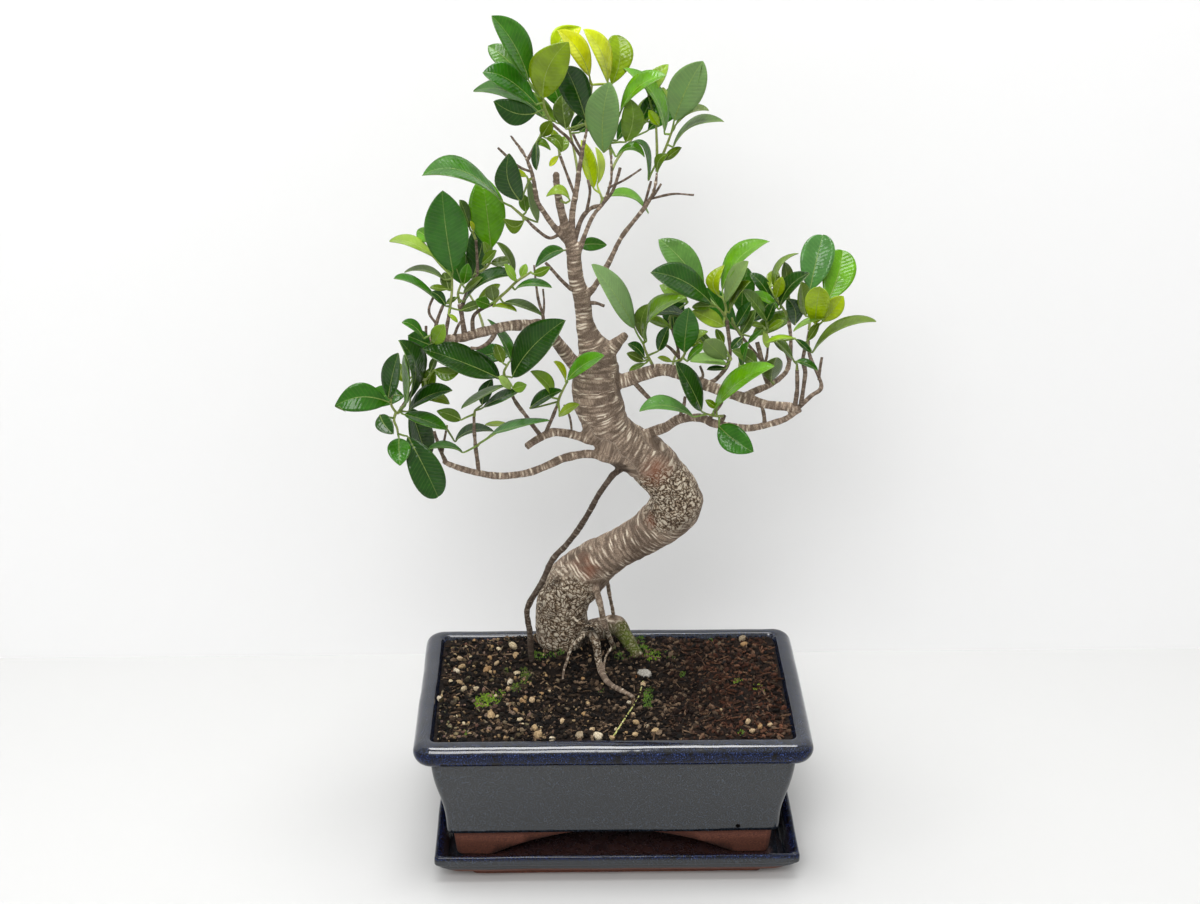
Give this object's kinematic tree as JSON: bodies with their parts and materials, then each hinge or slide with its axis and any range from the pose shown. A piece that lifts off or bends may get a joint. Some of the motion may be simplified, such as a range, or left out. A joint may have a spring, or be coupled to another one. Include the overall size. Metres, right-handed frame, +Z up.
{
  "type": "potted bonsai tree",
  "caption": "Small-leaved fig grown as an S-shaped bonsai, in a rectangular glazed pot of soil on a matching drip tray.",
  "frame": {"origin": "on the saucer's flat underside, where it stands on the table, under the middle of the pot", "axes": "+Z up; +X along the pot's long side, towards the right of the front view; +Y from the front of the pot to its back"},
  "size_m": [0.3277, 0.165, 0.5511],
  "materials": {
    "glazed_stoneware": "glossy dark cobalt glaze, bare brown clay on the feet and the tray's base",
    "bonsai_soil": "loose dark granular soil with pale pumice and moss",
    "fig_bark": "grey-brown bark with pale crosswise pores",
    "fig_leaf": "leathery green leaf, glossy above and matte below",
    "mesh_plastic": "matte black moulded mesh",
    "rough_grey_stone": "rough grey",
    "dry_stalk": "dry yellow-green stalk"
  },
  "bodies": {
    "root": {"saucer": "glazed_stoneware", "pot": "glazed_stoneware", "soil": "bonsai_soil", "trunk": "fig_bark", "drain_screen_left": "mesh_plastic", "drain_screen_right": "mesh_plastic", "stone_disc": "rough_grey_stone", "dry_stem": "dry_stalk", "spray_crown_left": "fig_leaf", "spray_crown_top": "fig_leaf", "spray_crown_centre": "fig_leaf", "spray_crown_heart": "fig_leaf", "spray_crown_right": "fig_leaf", "spray_crown_inner": "fig_leaf", "spray_crown_back": "fig_leaf", "spray_crown_side": "fig_leaf", "spray_left_limb": "fig_leaf", "spray_upper_left": "fig_leaf", "spray_left_high": "fig_leaf", "spray_left_mast": "fig_leaf", "spray_left_twig": "fig_leaf", "spray_left_fan": "fig_leaf", "spray_left_olive": "fig_leaf", "spray_leader_back": "fig_leaf", "spray_left_branch": "fig_leaf", "spray_left_hang": "fig_leaf", "spray_left_end": "fig_leaf", "spray_left_middle": "fig_leaf", "spray_left_up": "fig_leaf", "spray_left_low": "fig_leaf", "spray_left_low_end": "fig_leaf", "spray_left_inner": "fig_leaf", "spray_right_near": "fig_leaf", "spray_right_slim": "fig_leaf", "spray_right_centre": "fig_leaf", "spray_right_ringed": "fig_leaf", "spray_right_top": "fig_leaf", "spray_right_riser": "fig_leaf", "spray_right_high": "fig_leaf", "spray_right_mid": "fig_leaf", "spray_right_under": "fig_leaf", "spray_right_stub": "fig_leaf", "spray_right_inner": "fig_leaf", "spray_right_back_end": "fig_leaf", "spray_right_front_end": "fig_leaf", "spray_right_end_low": "fig_leaf", "spray_right_low": "fig_leaf", "spray_back_left": "fig_leaf", "spray_back_left_middle": "fig_leaf", "spray_back_left_end": "fig_leaf", "spray_back_right": "fig_leaf", "spray_back_right_near": "fig_leaf", "spray_back_crown": "fig_leaf", "spray_back_crown_right": "fig_leaf"}
  },
  "joints": []
}
